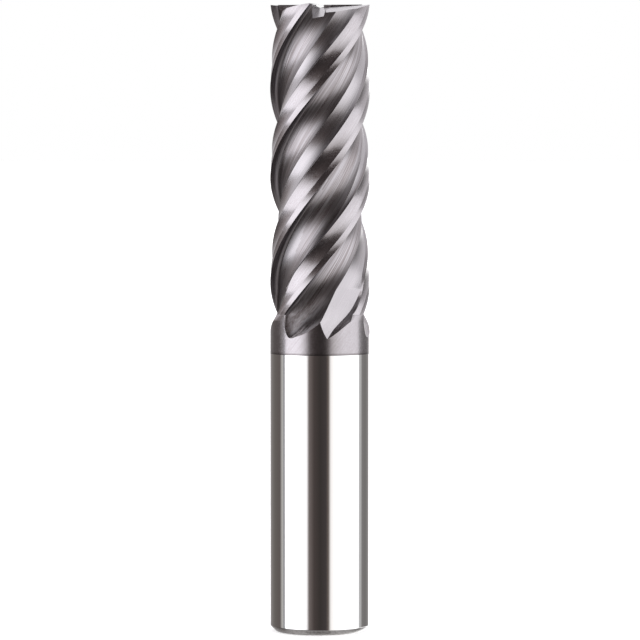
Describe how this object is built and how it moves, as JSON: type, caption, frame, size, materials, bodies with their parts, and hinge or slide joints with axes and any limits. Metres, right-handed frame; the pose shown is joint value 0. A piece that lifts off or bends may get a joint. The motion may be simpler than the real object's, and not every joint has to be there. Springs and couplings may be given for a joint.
{
  "type": "end mill",
  "caption": "Solid-carbide square end mill with a plain ground shank, a coated neck and a coated head with helical flutes and centre-cutting end teeth.",
  "frame": {"origin": "centre of the flat end face of the shank, which the tool stands on", "axes": "+Z along the tool's axis from the shank end to the cutting end; -Y is the side that the picture shows, with +X to its right"},
  "size_m": [0.02, 0.02, 0.126],
  "materials": {
    "ground_carbide": "fine ground, bright",
    "coated_neck": "satin violet-grey nitride coating",
    "coated_flutes": "violet-grey nitride coating over ground flutes"
  },
  "bodies": {
    "root": {"shank": "ground_carbide", "neck": "coated_neck", "cutting_head": "coated_flutes"}
  },
  "joints": []
}
